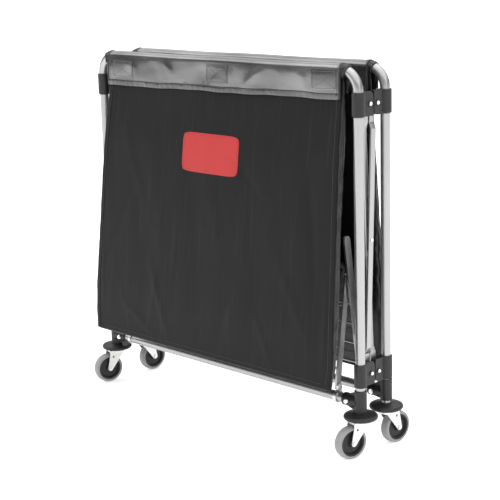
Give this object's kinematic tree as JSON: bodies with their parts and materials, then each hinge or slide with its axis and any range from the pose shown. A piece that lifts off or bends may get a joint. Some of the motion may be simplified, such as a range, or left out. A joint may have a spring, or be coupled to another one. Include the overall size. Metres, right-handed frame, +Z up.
{
  "type": "linen trolley",
  "caption": "Folding X-frame linen trolley with two bent-tube frames, crossed bars, a hanging vinyl bag, a folding wire platform and swivel casters, shown folded.",
  "frame": {"origin": "on the floor, under the middle of the folded trolley", "axes": "+Z up, +X along the rails to the right, +Y from the front frame to the back frame"},
  "size_m": [0.907, 0.2294, 0.864],
  "materials": {
    "powder_coated_tube": "satin silver powder coat",
    "zinc_plate": "bright zinc plate",
    "rivet_steel": "polished",
    "black_nylon": "fine moulded texture",
    "wheel_core": "moulded",
    "grey_tyre": "smooth non-marking",
    "bag_vinyl": "matte woven-backed vinyl",
    "cuff_vinyl": "satin grey vinyl",
    "bag_binding": "woven tape",
    "bag_label": "woven label"
  },
  "bodies": {
    "front_frame": {"front_tube": "powder_coated_tube", "front_lower_rail": "powder_coated_tube", "front_sockets": "black_nylon", "front_top_brackets": "black_nylon", "front_bumpers": "black_nylon", "front_caster_stems": "zinc_plate", "front_rail_bolts": "rivet_steel", "front_platform_brackets": "zinc_plate", "front_cuff": "cuff_vinyl"},
    "back_frame": {"back_tube": "powder_coated_tube", "back_lower_rail": "powder_coated_tube", "back_sockets": "black_nylon", "back_top_brackets": "black_nylon", "back_bumpers": "black_nylon", "back_caster_stems": "zinc_plate", "back_rail_bolts": "rivet_steel", "back_platform_brackets": "zinc_plate", "back_cuff": "cuff_vinyl"},
    "inner_bars": {"inner_cross_bar_left": "powder_coated_tube", "inner_cross_bar_right": "powder_coated_tube", "inner_bar_rivets": "rivet_steel", "stop_plates": "zinc_plate"},
    "outer_bars": {"outer_cross_bar_left": "powder_coated_tube", "outer_cross_bar_right": "powder_coated_tube", "outer_bar_rivets": "rivet_steel"},
    "front_sliders": {"front_sliders": "black_nylon"},
    "back_sliders": {"back_sliders": "black_nylon"},
    "front_platform": {"front_platform_bars": "powder_coated_tube", "front_platform_wires": "powder_coated_tube", "front_platform_pins": "rivet_steel"},
    "bag_front": {"bag_front_panel": "bag_vinyl"},
    "bag_front_bottom": {"bag_front_bottom": "bag_vinyl"},
    "bag_front_left_gusset": {"bag_front_left_gusset": "bag_vinyl"},
    "bag_front_right_gusset": {"bag_front_right_gusset": "bag_vinyl"},
    "back_platform": {"back_platform_bars": "powder_coated_tube", "back_platform_wires": "powder_coated_tube", "back_platform_pins": "rivet_steel"},
    "bag_back": {"bag_back_panel": "bag_vinyl"},
    "bag_back_bottom": {"bag_back_bottom": "bag_vinyl"},
    "bag_back_left_gusset": {"bag_back_left_gusset": "bag_vinyl"},
    "bag_back_right_gusset": {"bag_back_right_gusset": "bag_vinyl"},
    "front_left_caster": {"front_left_caster_fork": "zinc_plate", "front_left_caster_axle": "zinc_plate"},
    "front_left_wheel": {"front_left_caster_hub": "wheel_core", "front_left_caster_tyre": "grey_tyre"},
    "front_right_caster": {"front_right_caster_fork": "zinc_plate", "front_right_caster_axle": "zinc_plate"},
    "front_right_wheel": {"front_right_caster_hub": "wheel_core", "front_right_caster_tyre": "grey_tyre"},
    "back_left_caster": {"back_left_caster_fork": "zinc_plate", "back_left_caster_axle": "zinc_plate"},
    "back_left_wheel": {"back_left_caster_hub": "wheel_core", "back_left_caster_tyre": "grey_tyre"},
    "back_right_caster": {"back_right_caster_fork": "zinc_plate", "back_right_caster_axle": "zinc_plate"},
    "back_right_wheel": {"back_right_caster_hub": "wheel_core", "back_right_caster_tyre": "grey_tyre"}
  },
  "joints": [
    {"name": "fold", "type": "hinge", "parent": "front_frame", "child": "inner_bars", "pos_m": [0, -0.01245, 0.779], "axis": [1, 0, 0], "range_deg": [0, 49.78], "deforming": ["bag_front_left_gusset", "bag_front_right_gusset", "bag_back_left_gusset", "bag_back_right_gusset", "bag_front_bottom", "bag_back_bottom"]},
    {"name": "bar_crossing", "type": "hinge", "parent": "inner_bars", "child": "outer_bars", "pos_m": [0, 0, 0.4815], "axis": [1, 0, 0], "range_deg": [-99.86, 0.3]},
    {"name": "back_frame_hinge", "type": "hinge", "parent": "outer_bars", "child": "back_frame", "pos_m": [0, 0.01245, 0.779], "axis": [1, 0, 0], "range_deg": [-0.3, 50.08]},
    {"name": "front_slider_hinge", "type": "hinge", "parent": "outer_bars", "child": "front_sliders", "pos_m": [0, -0.01245, 0.184], "axis": [1, 0, 0], "range_deg": [-0.3, 50.08]},
    {"name": "back_slider_hinge", "type": "hinge", "parent": "inner_bars", "child": "back_sliders", "pos_m": [0, 0.01245, 0.184], "axis": [1, 0, 0], "range_deg": [-50.08, 0.3]},
    {"name": "front_platform_hinge", "type": "hinge", "parent": "front_frame", "child": "front_platform", "pos_m": [0, -0.03675, 0.143], "axis": [1, 0, 0], "range_deg": [-82.16, 0.3]},
    {"name": "back_platform_hinge", "type": "hinge", "parent": "back_frame", "child": "back_platform", "pos_m": [0, 0.03675, 0.143], "axis": [1, 0, 0], "range_deg": [-0.3, 82.16]},
    {"name": "bag_front_swing", "type": "hinge", "parent": "front_frame", "child": "bag_front", "pos_m": [0, -0.04475, 0.851], "axis": [1, 0, 0], "range_deg": [-0.3, 6.45]},
    {"name": "bag_front_bottom_fold", "type": "hinge", "parent": "bag_front", "child": "bag_front_bottom", "pos_m": [0, -0.11803, 0.17094], "axis": [1, 0, 0], "range_deg": [-70.04, 0.3]},
    {"name": "bag_back_swing", "type": "hinge", "parent": "back_frame", "child": "bag_back", "pos_m": [0, 0.04475, 0.851], "axis": [1, 0, 0], "range_deg": [-2.3, 0.3]},
    {"name": "bag_back_bottom_fold", "type": "hinge", "parent": "bag_back", "child": "bag_back_bottom", "pos_m": [0, 0.06862, 0.16742], "axis": [1, 0, 0], "range_deg": [-0.3, 77.46]},
    {"name": "bag_front_left_gusset_fold", "type": "hinge", "parent": "bag_front", "child": "bag_front_left_gusset", "pos_m": [-0.37259, -0.05026, 0.78119], "axis": [0.0283, 0.1071, 0.9938], "range_deg": [-0.3, 88.3]},
    {"name": "bag_front_right_gusset_fold", "type": "hinge", "parent": "bag_front", "child": "bag_front_right_gusset", "pos_m": [0.37259, -0.05026, 0.78119], "axis": [-0.0283, 0.1071, 0.9938], "range_deg": [-88.3, 0.3]},
    {"name": "bag_back_left_gusset_fold", "type": "hinge", "parent": "bag_back", "child": "bag_back_left_gusset", "pos_m": [-0.37259, 0.04519, 0.78097], "axis": [0.0283, -0.0349, 0.999], "range_deg": [-88.3, 0.3]},
    {"name": "bag_back_right_gusset_fold", "type": "hinge", "parent": "bag_back", "child": "bag_back_right_gusset", "pos_m": [0.37259, 0.04519, 0.78097], "axis": [-0.0283, -0.0349, 0.999], "range_deg": [-0.3, 88.3]},
    {"name": "front_left_swivel", "type": "hinge", "parent": "front_frame", "child": "front_left_caster", "pos_m": [-0.415, -0.04475, 0.08], "axis": [0, 0, 1], "continuous": true},
    {"name": "front_left_roll", "type": "hinge", "parent": "front_left_caster", "child": "front_left_wheel", "pos_m": [-0.42239, -0.07176, 0.0375], "axis": [0.9646, -0.2639, 0], "continuous": true},
    {"name": "front_right_swivel", "type": "hinge", "parent": "front_frame", "child": "front_right_caster", "pos_m": [0.415, -0.04475, 0.08], "axis": [0, 0, 1], "continuous": true},
    {"name": "front_right_roll", "type": "hinge", "parent": "front_right_caster", "child": "front_right_wheel", "pos_m": [0.40761, -0.07176, 0.0375], "axis": [0.9646, -0.2639, 0], "continuous": true},
    {"name": "back_left_swivel", "type": "hinge", "parent": "back_frame", "child": "back_left_caster", "pos_m": [-0.415, 0.04475, 0.08], "axis": [0, 0, 1], "continuous": true},
    {"name": "back_left_roll", "type": "hinge", "parent": "back_left_caster", "child": "back_left_wheel", "pos_m": [-0.41139, 0.07252, 0.0375], "axis": [-0.9917, 0.1288, 0], "continuous": true},
    {"name": "back_right_swivel", "type": "hinge", "parent": "back_frame", "child": "back_right_caster", "pos_m": [0.415, 0.04475, 0.08], "axis": [0, 0, 1], "continuous": true},
    {"name": "back_right_roll", "type": "hinge", "parent": "back_right_caster", "child": "back_right_wheel", "pos_m": [0.41861, 0.07252, 0.0375], "axis": [-0.9917, 0.1288, 0], "continuous": true}
  ],
  "couplings": [
    {"joint": "bar_crossing", "follows": "fold", "ratio": -2},
    {"joint": "back_frame_hinge", "follows": "fold", "ratio": 1},
    {"joint": "front_slider_hinge", "follows": "fold", "ratio": 1},
    {"joint": "back_slider_hinge", "follows": "fold", "ratio": -1},
    {"joint": "front_platform_hinge", "follows": "fold", "ratio": -1.6444},
    {"joint": "back_platform_hinge", "follows": "fold", "ratio": 1.6444},
    {"joint": "bag_front_swing", "follows": "fold", "ratio": 0.12354},
    {"joint": "bag_front_bottom_fold", "follows": "fold", "ratio": -1.401},
    {"joint": "bag_back_swing", "follows": "fold", "ratio": -0.040177},
    {"joint": "bag_back_bottom_fold", "follows": "fold", "ratio": 1.55},
    {"joint": "bag_front_left_gusset_fold", "follows": "fold", "ratio": 1.7678},
    {"joint": "bag_front_right_gusset_fold", "follows": "fold", "ratio": -1.7678},
    {"joint": "bag_back_left_gusset_fold", "follows": "fold", "ratio": -1.7678},
    {"joint": "bag_back_right_gusset_fold", "follows": "fold", "ratio": 1.7678}
  ]
}
